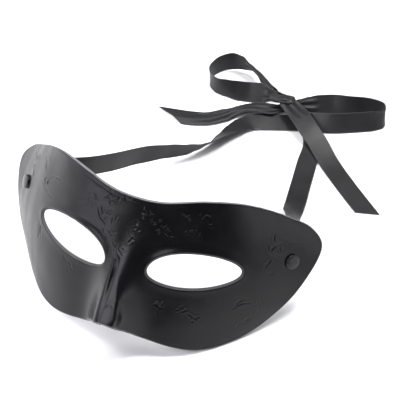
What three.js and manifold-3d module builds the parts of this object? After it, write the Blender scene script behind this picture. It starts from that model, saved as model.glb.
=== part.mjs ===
// A moulded half mask with two ribbons tied in a bow behind it.
// Millimetres, +Z up. The mask faces -Y and leans back on the lower edge of its cheeks.
// The ribbons run back from a rivet at each temple, and the bow lies on the ground behind the mask.
// The origin is the middle of the whole object's footprint, on the ground.
import * as THREE from 'three';
import { mergeVertices } from 'three/addons/utils/BufferGeometryUtils.js';
import Module from 'manifold-3d';

const wasm = await Module();
wasm.setup();

// Driving dimensions of the mask
const SHEET = 1.6; // thickness of the moulded sheet
const LEAN = THREE.MathUtils.degToRad(27.5); // how far the mask leans back from upright
const REACH = 82; // arc from the centre line, in which the plan curve's bend is stated
const BEND = [0.66, 0.9, -0.71]; // plan angle in radians over one, two and three powers of arc / REACH
const HALF_HEIGHT = 32.8; // height from the eye line, in which the temple's flare is stated
const TEMPLE_FLARE = 4.8; // how far the top and bottom of the temple curl inwards at that height
const NOSE_TOP = 33; // height where the nose ridge starts
const NOSE_AT_EYES = 7; // how far the ridge stands out at the eye line
const NOSE_AT_TIP = 24; // and at HALF_HEIGHT below it
const NOSE_WIDTH = { eyes: 12.5, tip: 10.5 }; // half width of the ridge at the same two heights

// Half of the outline on the unrolled sheet: arc from the centre line, height above the eye line
const OUTLINE = [
  [0, 33.6], [13.6, 34.4], [35, 38.8], [53, 39.4], [70.7, 36.5], [87.5, 31.2],
  [102.7, 24.7], [109.6, 16], [103.7, -1.8], [94.2, -18.9], [79.3, -33.8], [62, -42.2],
  [43.6, -45.5], [17, -41.6], [12, -38.4], [8.8, -35.6], [0, -30.3],
];

// Eye holes on the unrolled sheet, at their narrowest. The two aren't quite alike.
const EYES = {
  right: { arc: 37.7, height: 0.4, halfWidth: 24.7, halfHeight: 9.5 },
  left: { arc: 36.1, height: -0.2, halfWidth: 25.6, halfHeight: 9 },
};
const EYE_SHAPE = { turn: 0.096, taper: 0.17, droop: -0.9 };
const EYE_BEVEL = 1.2; // how wide and how deep the slope round an eye hole's front edge is

// Rivet at each temple: a low domed cap with an upright rim, a post and a flat disc behind
const RIVET = {
  arc: 91.3,
  height: 7.5,
  capRadius: 4,
  capHeight: 1.3,
  capRim: 0.5,
  postRadius: 1.2,
  discRadius: 3,
  discThickness: 0.8,
  sides: 24,
};
const CLEARANCE = 0.3; // gap between pieces that touch

// Ribbon
const RIBBON_WIDTH = 11.5;
const RIBBON_THICKNESS = 0.5;
const RIBBON_STEP = 3.2; // length of ribbon between two sections
const RIBBON_LIFT = 0.8; // gap between the sheet and the ribbon's end, because the sheet is curved
const CUT_BLEND = 14; // length of ribbon in which a slanting cut is made
// The ribbon's first stretch at the rivet: distance along the sheet, and height off it
const RIBBON_START = [[-5, 0], [3.4, 0], [8, 3.6]];

// Mesh fineness of the sheet
const RINGS = 10; // from the eye hole out to the edge; the first is the slope
const OUTLINE_STEPS = 46;
const CENTRE_STEPS = 16;
const PLAN_STEPS = 40; // short steps in which the plan curve is added up
const NEARBY = 0.05; // distance to the neighbours that give the sheet's slope

// Routes of the ribbons, from behind each rivet: where the middle of the band is, how many degrees
// its width leans from upright, clockwise as one looks along the route, and how much of its width
// is left where it is drawn together in the knot. At 90 degrees the band lies flat.
// Here Y is measured from the middle of the unleaned mask, as the sheet is.
const LEFT_ROUTE = [
  { at: [-74, 55, 35], lean: -22 },
  { at: [-66, 60, 33], lean: -21 },
  { at: [-55.5, 68.5, 29.5], lean: -17 },
  { at: [-46, 84, 22], lean: -9 },
  { at: [-36, 104, 13], lean: -5 },
  { at: [-25.5, 115, 9.5], lean: 5 },
  { at: [-17, 122, 7.5], lean: 15 },
  { at: [-11.5, 128, 6.2], lean: 30 },
  { at: [-7, 135, 5.4], lean: 38 },
  { at: [-3, 146, 3.8], lean: 57 },
  { at: [-0.5, 152, 3.1], lean: 73 },
  { at: [3, 158.5, 2.3], lean: 86 },
  { at: [7.5, 163, 2], lean: 98 },
  { at: [14.5, 166, 1.7], lean: 100 },
  { at: [23.5, 169.5, 1.4], lean: 97 },
  { at: [33, 172.5, 2], lean: 102 },
  { at: [42, 174.5, 3.9], lean: 125 },
  { at: [51, 176.5, 4.6], lean: 136 },
  { at: [70, 185.5, 5], lean: 142 },
  { at: [76, 188.5, 5.8], lean: 159 },
  { at: [78, 192, 6.3], lean: 180 },
  { at: [74.5, 195.5, 6.4], lean: 195 },
  { at: [65.5, 196, 5.8], lean: 202 },
  { at: [56, 193.5, 5.5], lean: 208 },
  { at: [46.5, 191.5, 4.8], lean: 222 },
  { at: [39, 188, 4.8], lean: 224 },
  { at: [33.5, 185.5, 4.7], lean: 224, width: 0.85 },
  { at: [28.5, 183.5, 4.7], lean: 226, width: 0.6 },
  { at: [23.5, 181, 3.8], lean: 246, width: 0.45 },
  { at: [18.5, 177, 4.3], lean: 260, width: 0.5 },
  { at: [13.5, 174, 4.8], lean: 265, width: 0.7 },
  { at: [7.5, 173.5, 4.2], lean: 275, width: 0.85 },
  { at: [0.5, 171.5, 2.9], lean: 286, width: 0.9 },
  { at: [-5.5, 167.5, 1.8], lean: 284, width: 0.8 },
  { at: [-11, 162, 1.3], lean: 272, width: 0.9 },
  { at: [-18.5, 156.5, 0.7], lean: 270, width: 0.95 },
  { at: [-27, 153.5, 0.6], lean: 270 },
  { at: [-40, 151, 0.6], lean: 270 },
];
const LEFT_CUT = -16; // how much less far the near edge of the tail runs than its far edge

const RIGHT_STRAP = [
  { at: [74, 56, 33.5], lean: -2 },
  { at: [69, 65, 30], lean: -13 },
  { at: [63, 77, 24], lean: -32 },
  { at: [57.5, 93, 13], lean: -56 },
  { at: [54, 109, 4.4], lean: -80 },
  { at: [50.5, 127.5, 1.1], lean: -90 },
  { at: [47.5, 146, 0.5], lean: -90 },
  { at: [46, 159, 1.5], lean: -91 },
  { at: [41.5, 166, 4.6], lean: -95, width: 0.9 },
  { at: [35.5, 171.5, 6.6], lean: -93, width: 0.85 },
  { at: [28, 176.5, 7.3], lean: -90, width: 0.7 },
  { at: [22, 180, 7.6], lean: -90, width: 0.5 },
];
const RIGHT_LOOP = [
  { at: [20.5, 182, 7.7], lean: 75, width: 0.45 },
  { at: [14, 181, 8.7], lean: 38, width: 0.6 },
  { at: [5.5, 183.5, 6.3], lean: 34 },
  { at: [-1.5, 183, 4.7], lean: 42 },
  { at: [-8, 181, 5.1], lean: 36 },
  { at: [-15, 179.5, 6], lean: 15 },
  { at: [-21.5, 179, 6.2], lean: 5 },
  { at: [-26, 181.5, 6.2], lean: 2 },
  { at: [-29, 186, 6.2], lean: -3 },
  { at: [-29, 191.5, 6.2], lean: -3 },
  { at: [-26, 197.5, 6.4], lean: -8 },
  { at: [-20.5, 201.5, 6.8], lean: -11 },
  { at: [-13.5, 201.5, 7.7], lean: 6 },
  { at: [-8, 199.5, 7.8], lean: 22, width: 0.9 },
  { at: [-3.5, 196.5, 8], lean: 20, width: 0.8 },
  { at: [3, 190, 9.3], lean: -3, width: 0.7 },
  { at: [9, 184, 10.8], lean: -18, width: 0.6 },
  { at: [14, 180.5, 10], lean: -83, width: 0.6 },
  { at: [18.5, 180, 10.1], lean: -94, width: 0.6 },
  { at: [23, 182, 9.1], lean: -98, width: 0.5 },
  { at: [25.5, 183.5, 8.4], lean: -100, width: 0.4 },
];
const RIGHT_TAIL = [
  { at: [20.5, 180.5, 8.2], lean: -87, width: 0.75 },
  { at: [28, 175.5, 8.4], lean: -84, width: 0.92 },
  { at: [34.5, 170.5, 8.1], lean: -83 },
  { at: [41, 165, 6.6], lean: -80 },
  { at: [48, 160, 3.9], lean: -84 },
  { at: [59, 149.5, 1.2], lean: -89 },
  { at: [73, 137, 0.6], lean: -90 },
  { at: [92.5, 120.5, 0.6], lean: -90 },
];
const RIGHT_CUT = 8;

// Knot: the lump that the right ribbon is pulled into, over the left ribbon
const KNOT = { at: [20.7, 180.6, 8.4], half: [6, 3.2, 2], turn: 0 };

const UP = new THREE.Vector3(0, 0, 1);

// Turns a closed geometry into a solid that can be cut and joined.
function solidOf(geometry) {
  const bare = geometry.index ? geometry.toNonIndexed() : geometry.clone();
  bare.deleteAttribute('normal');
  bare.deleteAttribute('uv');
  const merged = mergeVertices(bare, 1e-4);
  return new wasm.Manifold(new wasm.Mesh({
    numProp: 3,
    vertProperties: merged.attributes.position.array,
    triVerts: new Uint32Array(merged.index.array),
  }));
}

function geometryOf(solid) {
  const mesh = solid.getMesh();
  const geometry = new THREE.BufferGeometry();
  geometry.setAttribute('position', new THREE.BufferAttribute(mesh.vertProperties, 3));
  geometry.setIndex(new THREE.BufferAttribute(mesh.triVerts, 1));
  return geometry;
}

// A geometry from a list of triangles.
function facets(triangles) {
  const geometry = new THREE.BufferGeometry();
  return geometry.setFromPoints(triangles.flat());
}

function quad(a, b, c, d) {
  return [[a, b, c], [a, c, d]];
}

// Shape of the sheet

function planAngle(arc) {
  const s = arc / REACH;
  return BEND[0] * s + BEND[1] * s ** 2 + BEND[2] * s ** 3;
}

// Where the plan curve is after an arc from the centre line, by adding up short steps.
function planPoint(arc) {
  const step = arc / PLAN_STEPS;
  let x = 0;
  let y = 0;
  for (let k = 0; k < PLAN_STEPS; k += 1) {
    const angle = planAngle((k + 0.5) * step);
    x += Math.cos(angle) * step;
    y += Math.sin(angle) * step;
  }
  return [x, y];
}

// The ridge grows as the square and the cube of the way down from NOSE_TOP.
function noseRidge(u, v) {
  const down = Math.max(NOSE_TOP - v, 0) / NOSE_TOP;
  const tip = (NOSE_TOP + HALF_HEIGHT) / NOSE_TOP;
  const cube = (NOSE_AT_TIP / tip ** 2 - NOSE_AT_EYES) / (tip - 1);
  const height = (NOSE_AT_EYES - cube) * down ** 2 + cube * down ** 3;
  const below = Math.max(-v / HALF_HEIGHT, 0);
  const width = THREE.MathUtils.lerp(NOSE_WIDTH.eyes, NOSE_WIDTH.tip, below);
  return Math.max(height, 0) * Math.exp(-((u / width) ** 2));
}

// A point on the front of the sheet, from its place on the unrolled sheet.
function sheetPoint(u, v) {
  const arc = Math.abs(u);
  const [x, y] = planPoint(arc);
  const angle = planAngle(arc);
  const flare = -TEMPLE_FLARE * (v / HALF_HEIGHT) ** 2 * (arc / REACH) ** 2;
  const across = x + Math.sin(angle) * flare;
  const back = y - Math.cos(angle) * flare - noseRidge(u, v);
  return new THREE.Vector3(Math.sign(u) * across, back, v);
}

// The direction straight out of the front of the sheet.
function sheetNormal(u, v) {
  const alongU = sheetPoint(u + NEARBY, v).sub(sheetPoint(u - NEARBY, v));
  const alongV = sheetPoint(u, v + NEARBY).sub(sheetPoint(u, v - NEARBY));
  return alongU.cross(alongV).normalize();
}

function insidePoint(u, v, depth = SHEET) {
  return sheetPoint(u, v).addScaledVector(sheetNormal(u, v), -depth);
}

// Half of the outline as evenly spaced points, from the top of the centre line to its bottom.
function halfOutline() {
  const right = OUTLINE.map(([u, v]) => new THREE.Vector3(u, v, 0));
  const left = OUTLINE.slice(1, -1).reverse().map(([u, v]) => new THREE.Vector3(-u, v, 0));
  const curve = new THREE.CatmullRomCurve3([...right, ...left], true, 'centripetal');
  curve.arcLengthDivisions = 800;
  const points = [];
  for (let k = 0; k <= OUTLINE_STEPS; k += 1) {
    points.push(curve.getPointAt((0.5 * k) / OUTLINE_STEPS));
  }
  points[0].x = 0;
  points[OUTLINE_STEPS].x = 0;
  return points;
}

// The point of the eye hole's edge that lies towards a point of the outline, or a point that lies
// outwards of it.
function eyePoint(target, side, outwards) {
  const eye = side > 0 ? EYES.right : EYES.left;
  const { turn, taper, droop } = EYE_SHAPE;
  const stretch = eye.halfHeight / eye.halfWidth;
  const du = target.x - eye.arc;
  const dv = target.y - eye.height;
  const angle = Math.atan2(dv, du * Math.sqrt(stretch)) - turn;
  const x = (eye.halfWidth + outwards) * Math.cos(angle);
  const y = (eye.halfHeight + outwards) * Math.sin(angle) * (1 - taper * Math.cos(angle))
    + droop * Math.cos(angle) ** 2;
  return new THREE.Vector3(
    eye.arc + x * Math.cos(turn) - y * Math.sin(turn),
    eye.height + x * Math.sin(turn) + y * Math.cos(turn),
    0,
  );
}

// Half of the sheet is a set of rings, from the eye hole out to a loop made of the outline and
// the centre line.
function halfSheet(side) {
  const outline = halfOutline();
  const loop = [...outline];
  const top = outline[0].y;
  const bottom = outline[OUTLINE_STEPS].y;
  for (let k = 1; k < CENTRE_STEPS; k += 1) {
    loop.push(new THREE.Vector3(0, THREE.MathUtils.lerp(bottom, top, k / CENTRE_STEPS), 0));
  }
  const front = [];
  const back = [];
  for (let ring = 0; ring <= RINGS; ring += 1) {
    const atHole = ring === 0;
    const share = atHole ? 0 : (ring - 1) / (RINGS - 1);
    const places = loop.map((edge) => eyePoint(edge, side, atHole ? 0 : EYE_BEVEL).lerp(edge, share));
    front.push(places.map((p) => insidePoint(side * p.x, p.y, atHole ? EYE_BEVEL : 0)));
    back.push(places.map((p) => insidePoint(side * p.x, p.y)));
  }
  const triangles = [];
  const count = loop.length;
  for (let k = 0; k < count; k += 1) {
    const next = (k + 1) % count;
    for (let ring = 0; ring < RINGS; ring += 1) {
      const [a, b, c, d] = [[ring, k], [ring + 1, k], [ring + 1, next], [ring, next]];
      triangles.push(...quad(...[a, b, c, d].map(([i, j]) => front[i][j])));
      triangles.push(...quad(...[d, c, b, a].map(([i, j]) => back[i][j])));
    }
    triangles.push(...quad(front[0][next], back[0][next], back[0][k], front[0][k]));
    if (k < OUTLINE_STEPS) {
      triangles.push(...quad(front[RINGS][k], back[RINGS][k], back[RINGS][next], front[RINGS][next]));
    }
  }
  return side > 0 ? triangles.map(([a, b, c]) => [a, c, b]) : triangles;
}

// Where a rivet sits: on the sheet, with its own axis straight out of the front.
function rivetFrame(side) {
  const place = new THREE.Object3D();
  const normal = sheetNormal(side * RIVET.arc, RIVET.height);
  place.position.copy(sheetPoint(side * RIVET.arc, RIVET.height));
  place.quaternion.setFromUnitVectors(UP, normal);
  place.updateMatrix();
  return place.matrix;
}

// A rivet's hole through the sheet and through the ribbon's end.
function rivetHole(side) {
  const radius = RIVET.postRadius + CLEARANCE;
  const length = 10 * SHEET;
  const hole = new THREE.CylinderGeometry(radius, radius, length, 16);
  hole.rotateX(Math.PI / 2);
  hole.applyMatrix4(rivetFrame(side));
  return solidOf(hole);
}

function maskShell() {
  const sheet = solidOf(facets([...halfSheet(1), ...halfSheet(-1)]));
  return geometryOf(sheet.subtract(rivetHole(1)).subtract(rivetHole(-1)));
}

// A rivet is turned about its own axis, and its disc is behind the ribbon's end.
function rivet(side) {
  const capUnder = CLEARANCE;
  const capTop = capUnder + RIVET.capHeight;
  const rim = capUnder + RIVET.capRim;
  const discTop = -(SHEET + RIBBON_LIFT + RIBBON_THICKNESS + CLEARANCE);
  const discUnder = discTop - RIVET.discThickness;
  const profile = [
    [0, discUnder],
    [RIVET.discRadius, discUnder],
    [RIVET.discRadius, discTop],
    [RIVET.postRadius, discTop],
    [RIVET.postRadius, capUnder],
    [RIVET.capRadius, capUnder],
    [RIVET.capRadius, rim],
  ];
  for (const share of [0.85, 0.6, 0.3, 0]) {
    profile.push([RIVET.capRadius * share, capTop - (capTop - rim) * share ** 3]);
  }
  const corners = profile.map(([radius, height]) => new THREE.Vector2(radius, height));
  const body = new THREE.LatheGeometry(corners, RIVET.sides);
  body.rotateX(Math.PI / 2);
  return geometryOf(solidOf(body)).applyMatrix4(rivetFrame(side));
}

// The leaning mask, with its lowest point on the ground.
const lean = new THREE.Matrix4().makeRotationX(-LEAN);
const shell = maskShell();
const leanedPlaces = shell.clone().applyMatrix4(lean).getAttribute('position');
const lowest = new THREE.Box3().setFromBufferAttribute(leanedPlaces).min.z;
const maskPlace = new THREE.Matrix4().makeTranslation(0, 0, -lowest).multiply(lean);

// A ribbon starts flat behind its rivet, lifts off the sheet, and the route takes over from there.
function fromRivet(side, route) {
  const flat = SHEET + RIBBON_LIFT + 0.5 * RIBBON_THICKNESS;
  const start = RIBBON_START.map(([step, lift]) => {
    const u = side * (RIVET.arc + step);
    const middle = insidePoint(u, RIVET.height, flat + lift);
    const above = insidePoint(u, RIVET.height + 1, flat + lift);
    return {
      at: middle.clone().applyMatrix4(maskPlace).toArray(),
      across: above.sub(middle).transformDirection(maskPlace),
    };
  });
  return [...start, ...route];
}

// The way a band's width runs where it heads along a tangent.
function leaning(tangent, degrees) {
  const sideways = tangent.clone().cross(UP).normalize();
  const upwards = sideways.clone().cross(tangent);
  const angle = THREE.MathUtils.degToRad(degrees);
  return upwards.multiplyScalar(Math.cos(angle)).addScaledVector(sideways, Math.sin(angle));
}

// A flat band along a route, closed at both ends; cut is how much further its far edge runs at the end.
function band(route, cut = 0) {
  const places = route.map((p) => new THREE.Vector3(...p.at));
  const centre = new THREE.CatmullRomCurve3(places, false, 'centripetal');
  const parts = route.length - 1;
  const widthway = route.map((p, k) => p.across ?? leaning(centre.getTangent(k / parts), p.lean));
  const sections = [];
  for (let part = 0; part < parts; part += 1) {
    const length = centre.points[part].distanceTo(centre.points[part + 1]);
    const steps = Math.ceil(length / RIBBON_STEP);
    const last = part === parts - 1 ? steps : steps - 1;
    for (let k = 0; k <= last; k += 1) {
      const share = k / steps;
      const t = (part + share) / parts;
      const smooth = share * share * (3 - 2 * share);
      const tangent = centre.getTangent(t);
      const across = widthway[part].clone().lerp(widthway[part + 1], smooth);
      across.addScaledVector(tangent, -across.dot(tangent)).normalize();
      const width = THREE.MathUtils.lerp(route[part].width ?? 1, route[part + 1].width ?? 1, smooth);
      sections.push({ at: centre.getPoint(t), tangent, across, half: 0.5 * RIBBON_WIDTH * width });
    }
  }
  let left = 0;
  for (let k = sections.length - 1; k >= 0 && left < CUT_BLEND; k -= 1) {
    sections[k].slant = 0.5 * cut * (1 - left / CUT_BLEND);
    if (k > 0) left += sections[k].at.distanceTo(sections[k - 1].at);
  }
  const rings = sections.map(({ at, tangent, across, half, slant = 0 }) => {
    const face = tangent.clone().cross(across).multiplyScalar(0.5 * RIBBON_THICKNESS);
    const reach = across.clone().multiplyScalar(half).addScaledVector(tangent, slant);
    return [
      at.clone().add(reach).add(face),
      at.clone().sub(reach).add(face),
      at.clone().sub(reach).sub(face),
      at.clone().add(reach).sub(face),
    ];
  });
  const triangles = [...quad(...rings[0].toReversed()), ...quad(...rings[rings.length - 1])];
  for (let k = 1; k < rings.length; k += 1) {
    for (let side = 0; side < 4; side += 1) {
      const next = (side + 1) % 4;
      triangles.push(...quad(rings[k - 1][side], rings[k - 1][next], rings[k][next], rings[k][side]));
    }
  }
  return solidOf(facets(triangles));
}

function pierced(solid, side) {
  const hole = solidOf(geometryOf(rivetHole(side)).applyMatrix4(maskPlace));
  return solid.subtract(hole);
}

function leftRibbon() {
  return geometryOf(pierced(band(fromRivet(-1, LEFT_ROUTE), LEFT_CUT), -1));
}

function knot() {
  const lump = new THREE.SphereGeometry(1, 14, 8);
  lump.scale(...KNOT.half);
  lump.rotateZ(KNOT.turn);
  lump.translate(...KNOT.at);
  return solidOf(lump);
}

function rightRibbon() {
  const strap = pierced(band(fromRivet(1, RIGHT_STRAP)), 1);
  return geometryOf(strap.add(band(RIGHT_LOOP)).add(band(RIGHT_TAIL, RIGHT_CUT)).add(knot()));
}

// Materials
const moulded = new THREE.MeshStandardMaterial({ color: 0x1b1b1d, roughness: 0.45, metalness: 0 });
const satin = new THREE.MeshStandardMaterial({ color: 0x2b2b30, roughness: 0.5, metalness: 0 });
const rivetBlack = new THREE.MeshStandardMaterial({ color: 0x16161a, roughness: 0.35, metalness: 0.2 });

function named(name, geometry, material) {
  const mesh = new THREE.Mesh(geometry, material);
  mesh.name = name;
  return mesh;
}

const leaned = new THREE.Group();
leaned.applyMatrix4(maskPlace);
leaned.add(
  named('mask_shell', shell, moulded),
  named('rivet_left', rivet(-1), rivetBlack),
  named('rivet_right', rivet(1), rivetBlack),
);

const object = new THREE.Group();
object.add(leaned, named('ribbon_left', leftRibbon(), satin), named('ribbon_right', rightRibbon(), satin));

// The footprint's middle becomes the origin.
object.updateMatrixWorld(true);
const footprint = new THREE.Box3().setFromObject(object, true);
object.position.set(
  -0.5 * (footprint.min.x + footprint.max.x),
  -0.5 * (footprint.min.y + footprint.max.y),
  -footprint.min.z,
);

export default object;
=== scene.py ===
# Looks of a moulded black half mask and of the two satin ribbons that are tied in a bow behind it.
# Sizes of the mask and the ribbons are in millimetres, as their solids have them, and in_metres()
# places them in the part's frame. The camera, the floor and the lights are in metres.
import math
import random

import bpy
import numpy as np
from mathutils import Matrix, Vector, geometry, kdtree, noise


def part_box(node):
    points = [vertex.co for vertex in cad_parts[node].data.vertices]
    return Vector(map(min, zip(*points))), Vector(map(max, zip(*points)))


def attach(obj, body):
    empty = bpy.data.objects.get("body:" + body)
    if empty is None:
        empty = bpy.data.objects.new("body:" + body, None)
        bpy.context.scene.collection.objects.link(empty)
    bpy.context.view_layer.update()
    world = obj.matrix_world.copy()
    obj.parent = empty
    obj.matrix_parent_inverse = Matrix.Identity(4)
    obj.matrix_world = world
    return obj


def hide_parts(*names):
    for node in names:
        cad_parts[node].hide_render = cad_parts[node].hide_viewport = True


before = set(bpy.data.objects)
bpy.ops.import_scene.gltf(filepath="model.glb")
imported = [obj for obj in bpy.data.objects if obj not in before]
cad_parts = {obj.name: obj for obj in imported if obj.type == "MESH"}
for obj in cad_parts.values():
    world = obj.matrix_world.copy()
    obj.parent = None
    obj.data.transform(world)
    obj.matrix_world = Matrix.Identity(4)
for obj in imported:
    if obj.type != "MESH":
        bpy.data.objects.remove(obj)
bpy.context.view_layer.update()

MM = 0.001
MASK_BOX = [Vector(corner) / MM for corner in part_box("mask_shell")]

# Driving dimensions of the mask, in millimetres
SHEET = 1.6  # thickness of the moulded sheet
LEAN = math.radians(27.5)  # how far the mask leans back from upright
REACH = 82  # arc from the centre line, in which the plan curve's bend is stated
BEND = (0.66, 0.9, -0.71)  # plan angle in radians over one, two and three powers of arc / REACH
HALF_HEIGHT = 32.8  # height from the eye line, in which the temple's flare is stated
TEMPLE_FLARE = 4.8  # how far the top and bottom of the temple curl inwards at that height
NOSE_TOP = 33  # height where the nose ridge starts
NOSE_AT_EYES = 7  # how far the ridge stands out at the eye line
NOSE_AT_TIP = 24  # and at HALF_HEIGHT below it
NOSE_WIDTH_AT_EYES = 12.5  # half width of the ridge at the same two heights
NOSE_WIDTH_AT_TIP = 10.5

# Half of the outline on the unrolled sheet: arc from the centre line, height above the eye line
OUTLINE = [
    (0, 33.6), (13.6, 34.4), (35, 38.8), (53, 39.4), (70.7, 36.5), (87.5, 31.2),
    (102.7, 24.7), (109.6, 16), (103.7, -1.8), (94.2, -18.9), (79.3, -33.8), (62, -42.2),
    (43.6, -45.5), (17, -41.6), (12, -38.4), (8.8, -35.6), (0, -30.3),
]

# Eye holes on the unrolled sheet, at their narrowest, right and left. The two aren't quite alike.
EYE_ARC = {1: 37.7, -1: 36.1}
EYE_HEIGHT = {1: 0.4, -1: -0.2}
EYE_HALF_WIDTH = {1: 24.7, -1: 25.6}
EYE_HALF_HEIGHT = {1: 9.5, -1: 9}
EYE_TURN = 0.096
EYE_TAPER = 0.17
EYE_DROOP = -0.9

# Rivet at each temple: a cap with an upright rim in front, a post, and a flat disc behind
RIVET_ARC = 91.3
RIVET_HEIGHT = 7.5
CAP_RADIUS = 4
CAP_HEIGHT = 1.3
CAP_RIM = 0.5
CAP_SLOPE = 1.8  # width of the rounded shoulder round the cap's top
CAP_CROWN = 0.12  # how far the cap's middle stands above its shoulder
CAP_BULGE = 0.9  # how full the shoulder is; less is fuller
CAP_STEPS = 8  # rings in the cap's shoulder, and as many in its top
RIVET_ROUNDING = 0.2  # bevel of the cap's and the disc's edges
POST_RADIUS = 1.2
DISC_RADIUS = 3
DISC_THICKNESS = 0.8
CLEARANCE = 0.3  # gap between pieces that touch

# Ribbon
RIBBON_WIDTH = 11.5
RIBBON_SOLID = 0.5  # thickness of its stand-in solid, whose middle the cloth follows
CLOTH = 0.28  # thickness of the cloth
# The selvedge is really firmer and thicker; the lighter tone painted over its width in the satin is a
# painted highlight
SELVEDGE = 0.7  # width of the firmer woven edge
SELVEDGE_THICKER = 1.35  # its thickness, as a share of the cloth's
HEM_THICKNESS = 0.1  # thickness at the very edge
HEM_COLUMNS = (0, 0.12, 0.4)  # distances from the edge of the points that round it
RIBBON_LIFT = 0.8  # gap between the sheet and the ribbon's end
CUT_BLEND = 14  # length of ribbon in which a slanting cut is made
RIBBON_START = [(-5, 0), (3.4, 0), (8, 3.6)]  # distance along the sheet, and height off it

# Fineness of the meshes
FINE = 0.44  # spacing of points on the front of the mask
COARSE = 1.8  # and on its back
CURVE_STEP = 0.3  # spacing of points on a curve before it is divided evenly
EYE_STEPS = 720  # points round an eye hole before that
HOLE_SIDES = 32  # sides of a rivet's hole
RIVET_SIDES = 64
CLOTH_STEP = 0.7  # spacing of sections along a ribbon
COLUMNS = 15  # points across a ribbon between its selvedges
ARC_END = 125  # farther out than any point of the sheet
ARC_STEP = 0.05  # short steps in which the plan curve is added up
NEARBY = 0.05  # distance to the neighbours that give the sheet's slope
FLAT_UNIT = 10  # millimetres in one unit of the places on a flat material

# Cut edges of the sheet
RIM_RADIUS = 0.35  # their rounding
WALL_INSET = 0.06  # how far a rivet hole's wall is drawn in between its rounded edges
EYE_BEVEL = 1.2  # how wide and how deep the slope round an eye hole's front edge is
EDGE_BEVEL = 0.6  # and the slope round the outer edge

# Routes of the ribbons, from behind each rivet: middle of the band, how many degrees its width
# leans from upright, clockwise as one looks along the route, and how much of its width is left
# where it is drawn together in the knot. At 90 degrees the band lies flat.
LEFT_ROUTE = [
    ((-74, 55, 35), -22, 1),
    ((-66, 60, 33), -21, 1),
    ((-55.5, 68.5, 29.5), -17, 1),
    ((-46, 84, 22), -9, 1),
    ((-36, 104, 13), -5, 1),
    ((-25.5, 115, 9.5), 5, 1),
    ((-17, 122, 7.5), 15, 1),
    ((-11.5, 128, 6.2), 30, 1),
    ((-7, 135, 5.4), 38, 1),
    ((-3, 146, 3.8), 57, 1),
    ((-0.5, 152, 3.1), 73, 1),
    ((3, 158.5, 2.3), 86, 1),
    ((7.5, 163, 2), 98, 1),
    ((14.5, 166, 1.7), 100, 1),
    ((23.5, 169.5, 1.4), 97, 1),
    ((33, 172.5, 2), 102, 1),
    ((42, 174.5, 3.9), 125, 1),
    ((51, 176.5, 4.6), 136, 1),
    ((70, 185.5, 5), 142, 1),
    ((76, 188.5, 5.8), 159, 1),
    ((78, 192, 6.3), 180, 1),
    ((74.5, 195.5, 6.4), 195, 1),
    ((65.5, 196, 5.8), 202, 1),
    ((56, 193.5, 5.5), 208, 1),
    ((46.5, 191.5, 4.8), 222, 1),
    ((39, 188, 4.8), 224, 1),
    ((33.5, 185.5, 4.7), 224, 0.85),
    ((28.5, 183.5, 4.7), 226, 0.6),
    ((23.5, 181, 3.8), 246, 0.45),
    ((18.5, 177, 4.3), 260, 0.5),
    ((13.5, 174, 4.8), 265, 0.7),
    ((7.5, 173.5, 4.2), 275, 0.85),
    ((0.5, 171.5, 2.9), 286, 0.9),
    ((-5.5, 167.5, 1.8), 284, 0.8),
    ((-11, 162, 1.3), 272, 0.9),
    ((-18.5, 156.5, 0.7), 270, 0.95),
    ((-27, 153.5, 0.6), 270, 1),
    ((-40, 151, 0.6), 270, 1),
]
LEFT_CUT = -16  # how much farther the tail runs at the edge its width points to than at the other

RIGHT_STRAP = [
    ((74, 56, 33.5), -2, 1),
    ((69, 65, 30), -13, 1),
    ((63, 77, 24), -32, 1),
    ((57.5, 93, 13), -56, 1),
    ((54, 109, 4.4), -80, 1),
    ((50.5, 127.5, 1.1), -90, 1),
    ((47.5, 146, 0.5), -90, 1),
    ((46, 159, 1.5), -91, 1),
    ((41.5, 166, 4.6), -95, 0.9),
    ((35.5, 171.5, 6.6), -93, 0.85),
    ((28, 176.5, 7.3), -90, 0.7),
    ((22, 180, 7.6), -90, 0.5),
]
RIGHT_LOOP = [
    ((20.5, 182, 7.7), 75, 0.45),
    ((14, 181, 8.7), 38, 0.6),
    ((5.5, 183.5, 6.3), 34, 1),
    ((-1.5, 183, 4.7), 42, 1),
    ((-8, 181, 5.1), 36, 1),
    ((-15, 179.5, 6), 15, 1),
    ((-21.5, 179, 6.2), 5, 1),
    ((-26, 181.5, 6.2), 2, 1),
    ((-29, 186, 6.2), -3, 1),
    ((-29, 191.5, 6.2), -3, 1),
    ((-26, 197.5, 6.4), -8, 1),
    ((-20.5, 201.5, 6.8), -11, 1),
    ((-13.5, 201.5, 7.7), 6, 1),
    ((-8, 199.5, 7.8), 22, 0.9),
    ((-3.5, 196.5, 8), 20, 0.8),
    ((3, 190, 9.3), -3, 0.7),
    ((9, 184, 10.8), -18, 0.6),
    ((14, 180.5, 10), -83, 0.6),
    ((18.5, 180, 10.1), -94, 0.6),
    ((23, 182, 9.1), -98, 0.5),
    ((25.5, 183.5, 8.4), -100, 0.4),
]
RIGHT_TAIL = [
    ((20.5, 180.5, 8.2), -87, 0.75),
    ((28, 175.5, 8.4), -84, 0.92),
    ((34.5, 170.5, 8.1), -83, 1),
    ((41, 165, 6.6), -80, 1),
    ((48, 160, 3.9), -84, 1),
    ((59, 149.5, 1.2), -89, 1),
    ((73, 137, 0.6), -90, 1),
    ((92.5, 120.5, 0.6), -90, 1),
]
RIGHT_CUT = 8  # and the right ribbon's tail

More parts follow.
